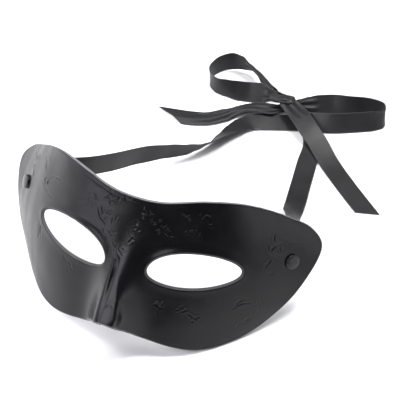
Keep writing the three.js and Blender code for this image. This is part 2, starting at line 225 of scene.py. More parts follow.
# Knot: a short wide wrap round the bow's middle
KNOT_AT = (20.7, 180.6, 8.4)
KNOT_HALF = (6, 3.2, 2)
KNOT_LENGTH = 0.92  # share of its half length that its pleated wrap has
KNOT_PINCH = 0.82  # how much thinner it gets towards its ends
KNOT_AROUND = 72  # points round the wrap
KNOT_ALONG = 25  # and along it
KNOT_FLAT = (5.5, 4)  # half length and radius of the wrap on the flat material
KNOT_PLEAT = 0.09  # height of its pleats, as a share of its thickness
KNOT_PLEATS = 9  # how close together they are
KNOT_TWIST = 1.3  # and how much they wind
KNOT_CRUMPLE = 0.05  # height of its crumples, as such a share

# Shape of the sheet

def plan_angle(arc):
    share = arc / REACH
    return BEND[0] * share + BEND[1] * share**2 + BEND[2] * share**3


def summed(values):
    return np.concatenate([[0], np.cumsum(values)])


ARCS = np.linspace(0, ARC_END, round(ARC_END / ARC_STEP) + 1)
STEP_ANGLES = plan_angle(ARCS[1:] - 0.5 * ARC_STEP)
PLAN_X = summed(np.cos(STEP_ANGLES) * ARC_STEP)
PLAN_Y = summed(np.sin(STEP_ANGLES) * ARC_STEP)


def nose_ridge(u, v):
    """How far the ridge stands out. It grows as the square and the cube of the way down."""
    down = np.maximum(NOSE_TOP - v, 0) / NOSE_TOP
    tip = (NOSE_TOP + HALF_HEIGHT) / NOSE_TOP
    cube = (NOSE_AT_TIP / tip**2 - NOSE_AT_EYES) / (tip - 1)
    height = (NOSE_AT_EYES - cube) * down**2 + cube * down**3
    below = np.maximum(-v / HALF_HEIGHT, 0)
    width = NOSE_WIDTH_AT_EYES + (NOSE_WIDTH_AT_TIP - NOSE_WIDTH_AT_EYES) * below
    return np.maximum(height, 0) * np.exp(-((u / width) ** 2))


def sheet_point(u, v):
    """Points on the front of the sheet, from their places on the unrolled sheet."""
    arc = np.abs(u)
    angle = plan_angle(arc)
    flare = -TEMPLE_FLARE * (v / HALF_HEIGHT) ** 2 * (arc / REACH) ** 2
    across = np.interp(arc, ARCS, PLAN_X) + np.sin(angle) * flare
    back = np.interp(arc, ARCS, PLAN_Y) - np.cos(angle) * flare - nose_ridge(u, v)
    return np.stack([np.sign(u) * across, back, v + 0 * u], -1)


def unit(vectors):
    return vectors / np.linalg.norm(vectors, axis=-1, keepdims=True)


def sheet_normal(u, v):
    along_u = sheet_point(u + NEARBY, v) - sheet_point(u - NEARBY, v)
    along_v = sheet_point(u, v + NEARBY) - sheet_point(u, v - NEARBY)
    return unit(np.cross(along_u, along_v))


def at_depth(u, v, depth):
    """Points under the front of the sheet, straight in from it."""
    return sheet_point(u, v) - sheet_normal(u, v) * np.reshape(depth, (-1, 1))


def tilted(points):
    """Points leaned back about the X axis."""
    c = math.cos(LEAN)
    s = math.sin(LEAN)
    x, y, z = np.moveaxis(np.asarray(points, float), -1, 0)
    return np.stack([x, c * y + s * z, c * z - s * y], -1)


def leaned(points):
    """Points leaned back, with the sheet's lowest point on the ground."""
    return tilted(points) - (0, 0, LOWEST)


# Curves through chosen points

def spline(points, spacing, closed=False):
    """Points of a smooth curve through the given ones, about evenly spaced, and for each of them
    the number of its segment plus its share of that segment. Each gap counts as its square root,
    so that the curve stays smooth where given points are close together."""
    knots = np.asarray(points, float)
    if closed:
        knots = np.vstack([knots[-1:], knots, knots[:2]])
    else:
        knots = np.vstack([2 * knots[0] - knots[1], knots, 2 * knots[-1] - knots[-2]])
    found = []
    places = []
    count = len(knots) - 3
    for k in range(count):
        before, here, there, after = knots[k : k + 4]
        pairs = ((before, here), (here, there), (there, after))
        gap_before, gap, gap_after = (math.sqrt(np.linalg.norm(b - a)) for a, b in pairs)
        leaving = (here - before) / gap_before - (there - before) / (gap_before + gap)
        leaving = (leaving + (there - here) / gap) * gap
        arriving = (there - here) / gap - (after - here) / (gap + gap_after)
        arriving = (arriving + (after - there) / gap_after) * gap
        steps = max(1, round(np.linalg.norm(there - here) / spacing))
        last = not closed and k == count - 1
        share = np.linspace(0, 1, steps + 1)[: None if last else -1, None]
        cubic = 2 * here - 2 * there + leaving + arriving
        square = -3 * here + 3 * there - 2 * leaving - arriving
        found.append(here + share * leaving + share**2 * square + share**3 * cubic)
        places.append(k + share[:, 0])
    return np.vstack(found), np.concatenate(places)


def evenly(loop, spacing):
    """Points along a closed loop, at even spacing."""
    closed = np.vstack([loop, loop[:1]])
    far = summed(np.linalg.norm(np.diff(closed, axis=0), axis=1))
    wanted = np.linspace(0, far[-1], round(far[-1] / spacing), endpoint=False)
    return np.stack([np.interp(wanted, far, closed[:, k]) for k in range(loop.shape[1])], -1)


def outline_loop():
    mirrored = [(-u, v) for u, v in OUTLINE[-2:0:-1]]
    return evenly(spline(OUTLINE + mirrored, CURVE_STEP, closed=True)[0], FINE)


def eye_loop(side):
    angle = np.linspace(0, 2 * math.pi, EYE_STEPS, endpoint=False)
    x = EYE_HALF_WIDTH[side] * np.cos(angle)
    y = EYE_HALF_HEIGHT[side] * np.sin(angle) * (1 - EYE_TAPER * np.cos(angle))
    y = y + EYE_DROOP * np.cos(angle) ** 2
    c = math.cos(EYE_TURN)
    s = math.sin(EYE_TURN)
    u = side * (EYE_ARC[side] + c * x - s * y)
    v = EYE_HEIGHT[side] + s * x + c * y
    return evenly(np.stack([u, v], -1), FINE)


def rivet_loop(side):
    angle = np.linspace(0, 2 * math.pi, HOLE_SIDES, endpoint=False)
    radius = POST_RADIUS + CLEARANCE
    u = side * RIVET_ARC + radius * np.cos(angle)
    v = RIVET_HEIGHT + radius * np.sin(angle)
    return np.stack([u, v], -1)


def turning(loop):
    """Which way a closed loop runs: 1 if its inside is on its left, and otherwise -1."""
    x, y = loop.T
    return np.sign(np.sum(x * np.roll(y, -1) - np.roll(x, -1) * y))


def drawn_in(loop, amount, into):
    """A closed loop moved sideways by an amount: inwards where into is 1, outwards where it is -1."""
    ahead = np.roll(loop, -1, axis=0) - np.roll(loop, 1, axis=0)
    sideways = unit(np.stack([-ahead[:, 1], ahead[:, 0]], -1))
    return loop + sideways * turning(loop) * into * amount


def inside(points, loop):
    """Which points lie inside a closed loop, by counting crossings."""
    result = np.zeros(len(points), bool)
    x, y = points.T
    for (x0, y0), (x1, y1) in zip(loop, np.roll(loop, -1, axis=0)):
        crosses = (y0 > y) != (y1 > y)
        if y0 != y1:
            result ^= crosses & (x < x0 + (y - y0) * (x1 - x0) / (y1 - y0))
    return result


def tree_of(points):
    tree = kdtree.KDTree(len(points))
    for k, point in enumerate(points):
        tree.insert((*point, 0), k)
    tree.balance()
    return tree


def nearest(points, targets):
    """For each point the distance to the nearest target, and which one that is."""
    tree = tree_of(targets)
    found = [tree.find((*point, 0))[1:] for point in points]
    return np.array([hit[1] for hit in found]), np.array([hit[0] for hit in found])


# Relief of the sheet: what bends it, and what is only pressed into its front

# Lip round each eye hole
LIP_HEIGHT = 1.6  # how far the sheet stands out at the edge of the hole
LIP_WIDTH = 6
LIP_FOOT = 0.55  # share of that width in which the lip curves up from the sheet
LIP_LOW = 0.22  # share of its height that is left on the far side of the hole
LIP_TOP = math.radians(140)  # where round the hole the lip is highest, from its outer end

# Strip to which the nose's crest is flattened: at some distances below the eye line, how flat it
# is, and the arcs of its left and right edges
STRIP_DOWN = (4, 18, 28, 38)
STRIP_SHARES = (0, 0.8, 1, 0.5)
STRIP_LEFTS = (-1, -1.6, -2, -2.4)
STRIP_RIGHTS = (0.5, 3.4, 4.2, 3.6)
STRIP_SLOPE = 0.1  # how much farther out it stands for each millimetre to the right
STRIP_FALL = 2.6  # how wide it fades into the nose's right side

# Groove along the strip's left edge: how much of its depth it has at some distances below the
# eye line
GROOVE_DOWN = (-2, 8, 30)
GROOVE_SHARES = (0, 0.8, 1)
GROOVE_BESIDE = 1.6  # how far left of the strip's edge its middle lies
GROOVE_HALF = 1.25
GROOVE_DEPTH = 2.3

DIMPLE_DEPTH = 0.25  # how far a rivet pulls the sheet in
DIMPLE_RADIUS = 6.5

# Gentle unevenness of the moulded sheet, in long waves with short ones among them
WAVE_HEIGHT = 0.22
WAVE_LENGTH = 21
SHORT_WAVE_HEIGHT = 0.4  # as a share of the long ones'
SHORT_WAVE_FINER = 2.3  # how many times shorter they are

# Upright ripples at the left temple
RIPPLE_HEIGHT = 0.14
RIPPLE_LENGTH = 6.5
RIPPLE_TALL = 34
RIPPLE_START = 55  # arc where they begin
RIPPLE_BLEND = 20  # how much farther out they have their full height

# Where in the noise each unevenness is drawn
RIPPLE_SEED = 9.2
WAVE_SEED = 3.1
SHORT_WAVE_SEED = 7.7
LINE_SEED = 2.3
CUP_SEED = 0.5
ROLL_SEED = 4.5


def nose_fold(u, v):
    """How far the strip along the nose's crest stands out, and its groove lies in."""
    share = np.interp(-v, STRIP_DOWN, STRIP_SHARES)
    left = np.interp(-v, STRIP_DOWN, STRIP_LEFTS)
    right = np.interp(-v, STRIP_DOWN, STRIP_RIGHTS)
    across = np.clip(u, left, right)
    level = nose_ridge(left, v) + STRIP_SLOPE * (across - left)
    strip = (level - nose_ridge(across, v)) * np.exp(-(((u - across) / STRIP_FALL) ** 2))
    deep = np.interp(-v, GROOVE_DOWN, GROOVE_SHARES)
    groove = np.exp(-(((u - left + GROOVE_BESIDE) / GROOVE_HALF) ** 2))
    return share * strip - deep * GROOVE_DEPTH * groove


def unevenness(places, length, height, seed):
    """Gentle noise over the unrolled sheet, its bumps about so long across and so high."""
    return np.array([noise.noise((u / length, v / height, seed)) for u, v in places])


def bend_of(places):
    """How far the whole sheet stands out of its formula, front and back alike."""
    u, v = places.T
    out = nose_fold(u, v)
    for side in (1, -1):
        loop = eye_loop(side)
        far, which = nearest(places, loop)
        along = (side * loop[:, 0] - EYE_ARC[side]) * EYE_HALF_HEIGHT[side] / EYE_HALF_WIDTH[side]
        round_eye = np.arctan2(loop[:, 1] - EYE_HEIGHT[side], along)
        share = LIP_LOW + (1 - LIP_LOW) * np.maximum(0, np.cos(round_eye[which] - LIP_TOP)) ** 2
        near = np.clip(1 - far / LIP_WIDTH, 0, 1)
        rise = np.where(near < LIP_FOOT, near**2 / (2 * LIP_FOOT), near - 0.5 * LIP_FOOT)
        out += LIP_HEIGHT * share * rise / (1 - 0.5 * LIP_FOOT)
        apart = np.hypot(u - side * RIVET_ARC, v - RIVET_HEIGHT)
        out -= DIMPLE_DEPTH * np.exp(-((apart / DIMPLE_RADIUS) ** 2))
    temple = np.clip((-u - RIPPLE_START) / RIPPLE_BLEND, 0, 1)
    out += RIPPLE_HEIGHT * temple * unevenness(places, RIPPLE_LENGTH, RIPPLE_TALL, RIPPLE_SEED)
    short = WAVE_LENGTH / SHORT_WAVE_FINER
    waves = unevenness(places, WAVE_LENGTH, WAVE_LENGTH, WAVE_SEED)
    waves += SHORT_WAVE_HEIGHT * unevenness(places, short, short, SHORT_WAVE_SEED)
    return out + WAVE_HEIGHT * waves


# Creases in the leather's face: clusters of short curling wrinkles, each cluster with its middle
# on the unrolled sheet, its spread, its number of creases and their typical length
CREASE_CLUSTERS = [
    ((-25, 23.5), 2, 14, 3), ((-6.5, 30.5), 1.6, 8, 2.5), ((-14.5, 28), 2.2, 6, 3),
    ((-14.5, 18.5), 2, 7, 3), ((-13, 8.5), 2.5, 5, 3), ((-4.5, 6), 1.3, 6, 2.5),
    ((-2, -8), 1.3, 7, 2.5), ((2, -20.5), 1, 7, 1.6), ((-86, 20), 4, 7, 6),
    ((-70, 26), 3, 7, 5), ((-64, 16), 3, 8, 4), ((-60, -8), 5, 6, 6),
    ((-32, -15.5), 2.2, 8, 3), ((3, 11), 1.2, 2, 2), ((6.5, 26.5), 1.8, 9, 2.5),
    ((10, 24.5), 1.5, 7, 2.5), ((15.5, 20), 1.6, 8, 3), ((21.5, 16.5), 1, 3, 2),
    ((27, 27.5), 1.8, 8, 2.5), ((33, 22), 1.5, 7, 2.5), ((37, 30), 2, 9, 3),
    ((5, 19), 1.5, 4, 2), ((22, -21.5), 1.5, 6, 2.5), ((34, -21.5), 2, 4, 2.5),
    ((40.5, -27), 2, 4, 2.5), ((63.5, -15), 2, 9, 3.5), ((72, -26), 3, 7, 5),
    ((79, 1), 1, 4, 2.5), ((76.5, 6.5), 1, 4, 2.5), ((81, 16.5), 2, 5, 4),
    ((77, -16), 2.5, 6, 4),
]
# Longer ones, each through chosen points
CREASE_LINES = [
    [(-18, 26.6), (-14, 30.5), (-10, 32.6), (-7, 33)], [(-20.7, 21.7), (-18, 17), (-14, 14)],
    [(-11.5, 12), (-9.4, 10.6), (-6.5, 12)], [(-7, 7.5), (-5, 4), (-3.5, 0), (-3.8, -4)],
    [(74, 17.5), (77, 12.5), (82, 10.8), (86, 12.3)], [(81, 20), (88, 17.5), (96.5, 16)],
    [(13, 17), (17, 19.5), (15.5, 22.5)], [(-34, 19), (-29, 21), (-25, 22.5)],
    [(60, -20), (66, -16), (73, -15.5)], [(-62, 20), (-57, 24), (-50, 25)],
    [(2, 30), (-10, 30.8), (-22, 33), (-34, 35.8)],
]
CREASE_DEPTH = 0.26
CREASE_WIDTH = 0.4
CREASE_STEP = 0.25
CREASE_SEED = 11
CREASE_LENGTHS = (0.5, 1.4)  # range of a short crease's length, as a share of the typical one
CREASE_DEPTHS = (0.4, 1.1)  # range of its depth, as a share of CREASE_DEPTH
LINE_DEPTHS = (0.5, 1)  # and of a long crease's depth
CREASE_FLATTER = 0.7  # how much less a cluster spreads upwards than across
CREASE_CURL = 0.3  # how much a short crease curls, in radians for each millimetre
CREASE_WANDER = 0.9  # and how much it wanders
CREASE_TAPER = 0.6  # how bluntly a short crease ends, and a long one
LINE_TAPER = 0.5
LINE_WANDER = 0.35  # how far a long crease wanders off its line
LINE_WAVES = 0.5  # and how often
BORDER_HEIGHT = 0.5  # height of the border beside a crease, as a share of its depth
BORDER_BESIDE = 2.1  # how far beside the crease it runs, in widths of the crease


def creases():
    """Points along every crease, each with its depth."""
    draw = random.Random(CREASE_SEED)
    points = []
    for (u, v), spread, count, length in CREASE_CLUSTERS:
        for _ in range(count):
            x = u + draw.gauss(0, spread)
            y = v + draw.gauss(0, CREASE_FLATTER * spread)
            heading = draw.uniform(0, 2 * math.pi)
            curl = draw.gauss(0, CREASE_CURL)
            steps = int(length * draw.uniform(*CREASE_LENGTHS) / CREASE_STEP)
            depth = draw.uniform(*CREASE_DEPTHS)
            for k in range(steps):
                taper = math.sin(math.pi * (k + 0.5) / steps) ** CREASE_TAPER
                points.append((x, y, depth * taper))
                heading += CREASE_STEP * (curl + draw.gauss(0, CREASE_WANDER))
                x += CREASE_STEP * math.cos(heading)
                y += CREASE_STEP * math.sin(heading)
    for line in CREASE_LINES:
        path = spline(line, CREASE_STEP)[0]
        for k, (x, y) in enumerate(path):
            taper = math.sin(math.pi * (k + 0.5) / len(path)) ** LINE_TAPER
            wander = LINE_WANDER * noise.noise((LINE_WAVES * x, LINE_WAVES * y, LINE_SEED))
            points.append((x + wander, y + wander, taper * draw.uniform(*LINE_DEPTHS)))
    return np.array(points)


def face_relief(places):
    """How far the front's own relief stands out: creases with a soft raised border."""
    lines = creases()
    far, which = nearest(places, lines[:, :2])
    depth = CREASE_DEPTH * lines[which, 2]
    groove = np.exp(-((far / CREASE_WIDTH) ** 2))
    border = np.exp(-((far / CREASE_WIDTH - BORDER_BESIDE) ** 2))
    return depth * (BORDER_HEIGHT * border - groove)


# Making meshes

def in_metres(points):
    return (np.asarray(points, float) + SHIFT) * MM


def make_piece(name, points, faces, materials, slots=None, spread=None):
    """A mesh object from points in millimetres. spread is each point's place on the flat material."""
    mesh = bpy.data.meshes.new(name)
    mesh.from_pydata(in_metres(points).tolist(), [], faces)
    for material in materials:
        mesh.materials.append(material)
    if slots is not None:
        mesh.polygons.foreach_set("material_index", np.asarray(slots, np.int32))
    mesh.polygons.foreach_set("use_smooth", np.ones(len(mesh.polygons), bool))
    if spread is not None:
        corners = np.empty(len(mesh.loops), np.int32)
        mesh.loops.foreach_get("vertex_index", corners)
        layer = mesh.uv_layers.new(name="flat")
        places = np.asarray(spread)[corners] / FLAT_UNIT
        layer.data.foreach_set("uv", places.astype(np.float32).ravel())
    mesh.update()
    piece = bpy.data.objects.new(name, mesh)
    bpy.context.collection.objects.link(piece)
    return piece


LATTICE_ROW = math.sqrt(0.75)  # distance between rows of a lattice, as a share of its spacing
LATTICE_CLEAR = 0.6  # least distance from the lattice to a border, as such a share
SAME_POINT = 1e-5  # distance within which two points are one
INSIDE_ONLY = 1  # makes the triangulation keep what its edges enclose


def between(points, loops):
    """Which points lie inside the first loop and outside the others."""
    keep = inside(points, loops[0])
    for hole in loops[1:]:
        keep &= ~inside(points, hole)
    return keep


def filled(loops, spacing):
    """Triangles over the area inside the first loop and outside the others, with a lattice of
    points between them. Returns the points and the triangles."""
    border = np.vstack(loops)
    low = border.min(0)
    high = border.max(0)
    rows = []
    for k, y in enumerate(np.arange(low[1], high[1], spacing * LATTICE_ROW)):
        x = np.arange(low[0] + 0.5 * spacing * (k % 2), high[0], spacing)
        rows.append(np.stack([x, np.full(len(x), y)], -1))
    lattice = np.vstack(rows)
    lattice = lattice[between(lattice, loops)]
    lattice = lattice[nearest(lattice, border)[0] > LATTICE_CLEAR * spacing]
    places = np.vstack([border, lattice])
    edges = []
    first = 0
    for loop in loops:
        edges += [(first + k, first + (k + 1) % len(loop)) for k in range(len(loop))]
        first += len(loop)
    corners = [Vector(place) for place in places]
    found = geometry.delaunay_2d_cdt(corners, edges, [], INSIDE_ONLY, SAME_POINT)[2]
    triangles = np.array([list(triangle) for triangle in found])
    return places, triangles[between(places[triangles].mean(1), loops)]


# A cut edge is a list of rows from front to back: how far each is drawn in, and how deep it lies

def square():
    """Rows of an edge with a straight wall and both of its corners rounded."""
    angles = np.radians([0, 30, 60, 90])
    corner = [(RIM_RADIUS * (1 - math.sin(a)), RIM_RADIUS * (1 - math.cos(a))) for a in angles]
    wall = [(WALL_INSET, 0.35 * SHEET), (WALL_INSET, 0.65 * SHEET)]
    return corner + wall + [(x, SHEET - y) for x, y in reversed(corner)]


def sloping(bevel):
    """Rows of an edge that slopes off towards the front, as many as a square one has."""
    return [
        (bevel + 0.3, 0), (bevel + 0.1, 0.05), (bevel - 0.08, 0.18),
        (0.66 * bevel, 0.42 * bevel + 0.03), (0.33 * bevel, 0.74 * bevel + 0.01),
        (0.07, bevel), (0, bevel + 0.12),
        (0.05, SHEET - 0.16), (0.16, SHEET - 0.05), (RIM_RADIUS, SHEET),
    ]


# Which of the mask's materials its faces have
FACE_SLOT = 0
BACK_SLOT = 1
EDGE_SLOT = 2
# The cut walls of the eye holes and rivet holes take a darker copy of the cut leather, whose tone is
# painted shade
SHADED_RIM_SLOT = 3
FACE_ROWS = 2  # how many rows of a cut edge have the face's


def mask_shell(materials):
    """The sheet: a fine front, a coarser back, and a rounded cut edge along every border."""
    # Each border's loop, which way its rows are drawn in, and those rows
    borders = [(outline_loop(), 1, sloping(EDGE_BEVEL))]
    borders += [(eye_loop(side), -1, sloping(EYE_BEVEL)) for side in (1, -1)]
    borders += [(rivet_loop(side), -1, square()) for side in (1, -1)]

    def row(k):
        """The loops of every border's row k."""
        return [drawn_in(loop, rows[k][0], into) for loop, into, rows in borders]

    front, front_faces = filled(row(0), FINE)
    back, back_faces = filled(row(-1), COARSE)

    flat = [front]
    depth = [np.zeros(len(front))]
    starts = [0]
    for k in range(1, len(square()) - 1):
        starts.append(sum(len(some) for some in flat))
        flat.append(np.vstack(row(k)))
        depth.append(np.concatenate([np.full(len(loop), rows[k][1]) for loop, _, rows in borders]))
    starts.append(sum(len(some) for some in flat))
    flat.append(back)
    depth.append(np.full(len(back), SHEET))

    flat = np.vstack(flat)
    depth = np.concatenate(depth)
    depth = depth - bend_of(flat)
    depth[: len(front)] -= face_relief(front)
    points = leaned(at_depth(flat[:, 0], flat[:, 1], depth))

    faces = front_faces.tolist()
    slots = [FACE_SLOT] * len(faces)
    faces += (back_faces[:, ::-1] + starts[-1]).tolist()
    slots += [BACK_SLOT] * len(back_faces)
    first = 0
    for loop, into, _ in borders:
        ring = [(first + k, first + (k + 1) % len(loop)) for k in range(len(loop))]
        order = 1 if turning(loop) == into else -1
        # the holes' walls get the darker copy of the cut leather, painted shade where they lie in
        # shadow
        cut_slot = EDGE_SLOT if into > 0 else SHADED_RIM_SLOT
        for k, (upper, lower) in enumerate(zip(starts[:-1], starts[1:])):
            for a, b in ring:
                face = [upper + a, lower + a, lower + b, upper + b]
                faces.append(face[::order])
                slots.append(FACE_SLOT if k < FACE_ROWS else cut_slot)
        first += len(loop)
    return make_piece("mask", points, faces, materials, slots, flat)


# Rivets

def rivet_profile():
    """Radius and height of a rivet's outline, from the middle of its disc to the top of its cap."""
    cap_under = CLEARANCE
    rim = cap_under + CAP_RIM
    cap_top = cap_under + CAP_HEIGHT
    disc_top = -(SHEET + RIBBON_LIFT + RIBBON_SOLID + CLEARANCE)
    disc_under = disc_top - DISC_THICKNESS
    edge = RIVET_ROUNDING
    profile = [
        (0, disc_under), (DISC_RADIUS - edge, disc_under), (DISC_RADIUS, disc_under + edge),
        (DISC_RADIUS, disc_top - edge), (DISC_RADIUS - edge, disc_top), (POST_RADIUS, disc_top),
        (POST_RADIUS, cap_under), (CAP_RADIUS - edge, cap_under), (CAP_RADIUS, cap_under + edge),
        (CAP_RADIUS, rim),
    ]
    flat_radius = CAP_RADIUS - CAP_SLOPE
    shoulder = cap_top - CAP_CROWN - rim
    for share in np.linspace(0.1, 1, CAP_STEPS):
        fall = math.cos(0.5 * math.pi * share)
        profile.append((flat_radius + CAP_SLOPE * fall, rim + shoulder * share**CAP_BULGE))
    for share in np.linspace(0.85, 0, CAP_STEPS):
        profile.append((flat_radius * share, cap_top - CAP_CROWN * share**2))
    return profile


def rivet(side, material):
    """The profile turned round the sheet's normal at the rivet."""
    angle = np.linspace(0, 2 * math.pi, RIVET_SIDES, endpoint=False)
    bottom, *walls, top = rivet_profile()
    rings = [
        np.stack([radius * np.cos(angle), radius * np.sin(angle), np.full(RIVET_SIDES, height)], -1)
        for radius, height in walls
    ]
    points = np.vstack([[(0, 0, bottom[1])], *rings, [(0, 0, top[1])]])
    faces = []
    last = len(points) - 1
    last_ring = last - RIVET_SIDES
    for k in range(RIVET_SIDES):
        n = (k + 1) % RIVET_SIDES
        faces.append([0, 1 + n, 1 + k])
        for low in range(1, last_ring, RIVET_SIDES):
            high = low + RIVET_SIDES
            faces.append([low + k, low + n, high + n, high + k])
        faces.append([last_ring + k, last_ring + n, last])
    u = np.array([side * RIVET_ARC])
    v = np.array([RIVET_HEIGHT])
    axis = Vector(sheet_normal(u, v)[0])
    turned = np.array(Vector((0, 0, 1)).rotation_difference(axis).to_matrix())
    placed = points @ turned.T + sheet_point(u, v)
    name = "temple_rivet_right" if side > 0 else "temple_rivet_left"
    return make_piece(name, leaned(placed), faces, [material])


# Ribbons

def from_rivet(side, route):
    """A route with its first stretch, which lies along the sheet's back at the rivet."""
    flat = SHEET + RIBBON_LIFT + 0.5 * RIBBON_SOLID
    start = []
    for step, lift in RIBBON_START:
        u = np.full(2, side * (RIVET_ARC + step))
        v = np.array([RIVET_HEIGHT, RIVET_HEIGHT + 1])
        middle, above = leaned(at_depth(u, v, [flat + lift] * 2))
        start.append((tuple(middle), unit(above - middle), 1))
    return start + route


def leaning(ahead, lean):
    """The way a ribbon's width runs, from its lean in degrees; a direction is kept as it is."""
    if np.ndim(lean):
        return lean
    sideways = unit(np.cross(ahead, (0, 0, 1)))
    upwards = np.cross(sideways, ahead)
    angle = math.radians(lean)
    return upwards * math.cos(angle) + sideways * math.sin(angle)


def smoothly(values, places):
    """Values at a route's points, blended along it at the given places."""
    values = np.asarray(values, float)
    part = np.minimum(places.astype(int), len(values) - 2)
    share = places - part
    share = share * share * (3 - 2 * share)
    share = share.reshape([-1] + [1] * (values.ndim - 1))
    return values[part] * (1 - share) + values[part + 1] * share


CUP_HEIGHT = 0.3  # how far a ribbon's middle bulges
CUP_LENGTH = 31
ROLL_HEIGHT = 0.12  # how far its edges tip up and down
ROLL_LENGTH = 9
PLEATS = 2.5  # waves across a ribbon where it is drawn together
PLEAT_LIMIT = 1.2  # how high they get at most
TAIL_CREASE = 0.3  # where across the left tail its crease runs, from -1 to 1
TAIL_RISE = 1.8  # how far the crease stands up
TAIL_START = 0.86  # share of the ribbon's length after which it starts
TAIL_BLEND = 0.05  # share in which it rises


def ribbon_columns():
    """Places across a ribbon, from its one edge to its other, and the cloth's thickness there."""
    half = 0.5 * RIBBON_WIDTH
    inner = half - SELVEDGE
    hem = half - np.array(HEM_COLUMNS)
    column = np.concatenate([-hem, np.linspace(-inner, inner, COLUMNS), hem[::-1]])
    thickness = np.full(len(column), CLOTH)
    hems = len(HEM_COLUMNS) + 1
    thickness[:hems] *= SELVEDGE_THICKER
    thickness[-hems:] *= SELVEDGE_THICKER
    thickness[[0, -1]] = HEM_THICKNESS
    return column, thickness


def ribbon_lift(far, share, width, seed):
    """How far the cloth rises off the ribbon's plane: a cup, a roll, and pleats where it is narrow."""
    cup = np.array([noise.noise((s / CUP_LENGTH, seed, CUP_SEED)) for s in far])
    roll = np.array([noise.noise((s / ROLL_LENGTH, seed, ROLL_SEED)) for s in far])
    lift = CUP_HEIGHT * np.outer(cup, 1 - share**2) + ROLL_HEIGHT * np.outer(roll, share)
    drawn = np.sqrt(np.maximum(1 / width - 1, 0))
    waves = 2 * math.pi * PLEATS / (RIBBON_WIDTH * width)
    pleat = np.outer(2 * drawn / waves, np.cos(math.pi * PLEATS * (share + 1) + seed))
    return lift + np.clip(pleat, -PLEAT_LIMIT, PLEAT_LIMIT)


def tube_faces(rows, count):
    """The faces between rows of points that each run round a tube."""
    faces = []
    for low in range(0, (rows - 1) * count, count):
        for n in range(count):
            m = (n + 1) % count
            faces.append([low + n, low + m, low + count + m, low + count + n])
    return faces


def band(route, cut=0, seed=0, fold=None):
    """A ribbon along a route, as points, faces, places on the flat ribbon, and its length."""
    middle, places = spline([row[0] for row in route], CLOTH_STEP)
    far = summed(np.linalg.norm(np.diff(middle, axis=0), axis=1))
    ahead = unit(np.gradient(middle, axis=0))
    knots = np.searchsorted(places, np.arange(len(route)))
    across = smoothly([leaning(ahead[k], row[1]) for k, row in zip(knots, route)], places)
    across = unit(across - np.sum(across * ahead, -1, keepdims=True) * ahead)
    face = np.cross(ahead, across)
    width = smoothly([row[2] for row in route], places)

    column, thickness = ribbon_columns()
    share = 2 * column / RIBBON_WIDTH
    lift = ribbon_lift(far, share, width, seed)
    if fold is not None:
        lift += fold(far / far[-1], share)

    slant = np.clip(1 - (far[-1] - far) / CUT_BLEND, 0, 1) * 0.5 * cut
    at = middle[:, None] + across[:, None] * np.outer(width, column)[..., None]
    at = at + ahead[:, None] * np.outer(slant, share)[..., None]
    upper = at + face[:, None] * (lift + 0.5 * thickness)[..., None]
    lower = at + face[:, None] * (lift - 0.5 * thickness)[..., None]
    ring = np.concatenate([upper, lower[:, ::-1]], 1)
    flat = np.concatenate([column, column[::-1]])
    spread = np.stack(np.broadcast_arrays(flat[None, :], far[:, None]), -1)

    rows, count = ring.shape[:2]
    faces = tube_faces(rows, count)
    for first, order in ((0, -1), ((rows - 1) * count, 1)):
        for n in range(len(column) - 1):
            quad = [first + k for k in (n, n + 1, count - 2 - n, count - 1 - n)]
            faces.append(quad[::order])
    return ring.reshape(-1, 3), faces, spread.reshape(-1, 2), far[-1]


def joined(parts):
    """Several bands as one mesh."""
    points = []
    faces = []
    spread = []
    first = 0
    for some, others, flat, *_ in parts:
        points.append(some)
        spread.append(flat)
        faces += [[first + k for k in face] for face in others]
        first += len(some)
    return np.vstack(points), faces, np.vstack(spread)


def tail_fold(along, share):
    """The left tail is creased lengthwise: its near third slopes down to the ground."""
    near_end = np.clip((along - TAIL_START) / TAIL_BLEND, 0, 1)
    near_third = (share + 1) / (TAIL_CREASE + 1)
    far_part = (1 - share) / (1 - TAIL_CREASE)
    return TAIL_RISE * np.outer(near_end, np.where(share < TAIL_CREASE, near_third, far_part))


def knot():
    """The wrap: a short wide ring of ribbon with pleats that run round it."""
    length, depth, height = KNOT_HALF
    flat_half, flat_radius = KNOT_FLAT
    points = []
    spread = []
    for share in np.linspace(-1, 1, KNOT_ALONG):
        bulge = math.sqrt(1 - KNOT_PINCH * share**2)
        for angle in np.linspace(0, 2 * math.pi, KNOT_AROUND, endpoint=False):
            c = math.cos(angle)
            s = math.sin(angle)
            pleat = KNOT_PLEAT * math.cos(KNOT_PLEATS * share + KNOT_TWIST * s)
            crumple = KNOT_CRUMPLE * noise.noise((3 * share, 2 * c, 2 * s))
            swell = bulge * (1 + pleat + crumple)
            points.append((length * KNOT_LENGTH * share, depth * swell * c, height * swell * s))
            spread.append((flat_half * share, flat_radius * angle))
    faces = tube_faces(KNOT_ALONG, KNOT_AROUND)
    first_ring = list(range(KNOT_AROUND))
    faces.append(first_ring[::-1])
    faces.append([len(points) - KNOT_AROUND + n for n in first_ring])
    around = 2 * math.pi * flat_radius
    return np.array(points) + KNOT_AT, [face[::-1] for face in faces], np.array(spread), around


def ribbon_left(material):
    """The left ribbon and its length."""
    route = from_rivet(-1, LEFT_ROUTE)
    points, faces, spread, length = band(route, cut=LEFT_CUT, seed=1.7, fold=tail_fold)
    return make_piece("ribbon_left_cloth", points, faces, [material], spread=spread), length


def ribbon_right(material):
    """The right ribbon, in three bands and the knot's wrap, and its length."""
    parts = [
        band(from_rivet(1, RIGHT_STRAP), seed=5.2),
        band(RIGHT_LOOP, seed=8.4),
        band(RIGHT_TAIL, cut=RIGHT_CUT, seed=2.9),
        knot(),
    ]
    points, faces, spread = joined(parts)
    length = sum(part[3] for part in parts)
    return make_piece("ribbon_right_cloth", points, faces, [material], spread=spread), length


# Materials

def new_material(name):
    material = bpy.data.materials.new(name)
    material.use_nodes = True
    nodes = material.node_tree.nodes
    return material, nodes, material.node_tree.links, nodes["Principled BSDF"]


